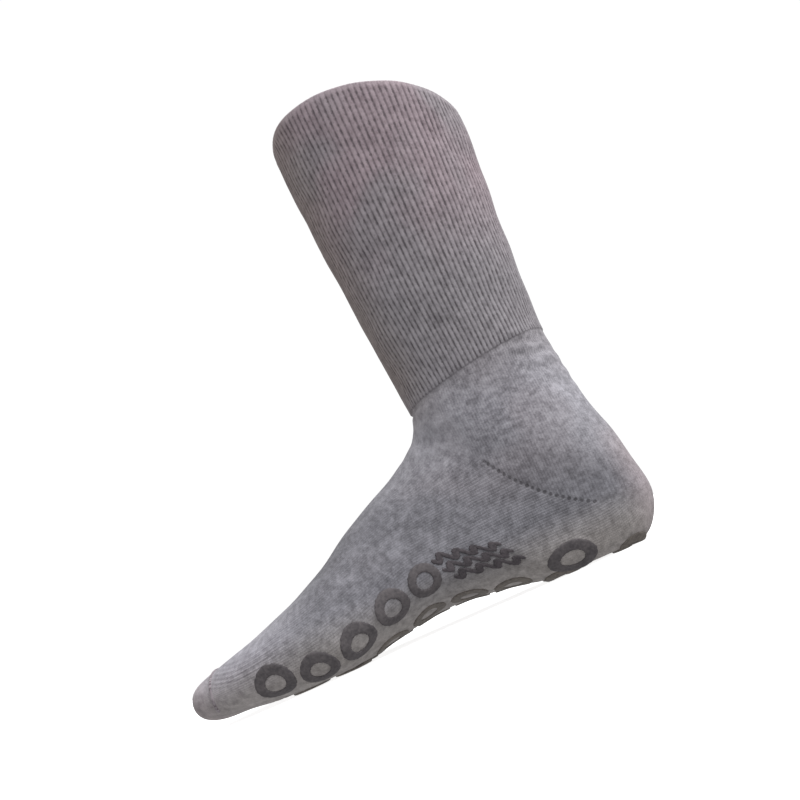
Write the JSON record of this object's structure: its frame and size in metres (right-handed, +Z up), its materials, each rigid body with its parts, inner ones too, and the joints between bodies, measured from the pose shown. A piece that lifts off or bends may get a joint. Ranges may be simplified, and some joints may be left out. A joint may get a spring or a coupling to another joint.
{
  "type": "slipper sock",
  "caption": "Calf-length grey marl knitted slipper sock for the right foot, with a ribbed leg, turned heel and dark grip rings printed under the sole.",
  "frame": {"origin": "on the floor, under the middle of the sock's outline", "axes": "+X to the toe, +Y to the arch side of the foot, +Z up along the leg"},
  "size_m": [0.2445, 0.0952, 0.2707],
  "materials": {
    "marl_knit": "grey marl cotton knit, matt",
    "linking_yarn": "grey linking yarn, matt",
    "grip_print": "dark grey printed grip, matt, slightly tacky"
  },
  "bodies": {
    "root": {"knit_body": "marl_knit", "toe_seam": "linking_yarn", "arch_wave_lateral_1": "grip_print", "arch_wave_lateral_2": "grip_print", "arch_wave_lateral_3": "grip_print", "arch_wave_medial_1": "grip_print", "arch_wave_medial_2": "grip_print", "arch_wave_medial_3": "grip_print", "forefoot_ring_inner_lateral_1": "grip_print", "forefoot_ring_inner_lateral_2": "grip_print", "forefoot_ring_inner_lateral_3": "grip_print", "forefoot_ring_inner_lateral_4": "grip_print", "forefoot_ring_inner_lateral_5": "grip_print", "forefoot_ring_inner_lateral_6": "grip_print", "forefoot_ring_inner_medial_1": "grip_print", "forefoot_ring_inner_medial_2": "grip_print", "forefoot_ring_inner_medial_3": "grip_print", "forefoot_ring_inner_medial_4": "grip_print", "forefoot_ring_inner_medial_5": "grip_print", "forefoot_ring_inner_medial_6": "grip_print", "forefoot_ring_outer_lateral_1": "grip_print", "forefoot_ring_outer_lateral_2": "grip_print", "forefoot_ring_outer_lateral_3": "grip_print", "forefoot_ring_outer_lateral_4": "grip_print", "forefoot_ring_outer_lateral_5": "grip_print", "forefoot_ring_outer_medial_1": "grip_print", "forefoot_ring_outer_medial_2": "grip_print", "forefoot_ring_outer_medial_3": "grip_print", "forefoot_ring_outer_medial_4": "grip_print", "forefoot_ring_outer_medial_5": "grip_print", "heel_ring_front_lateral": "grip_print", "heel_ring_front_medial": "grip_print", "heel_ring_rear_lateral": "grip_print", "heel_ring_rear_medial": "grip_print", "heel_ring_side_lateral": "grip_print", "heel_ring_side_medial": "grip_print"}
  },
  "joints": []
}
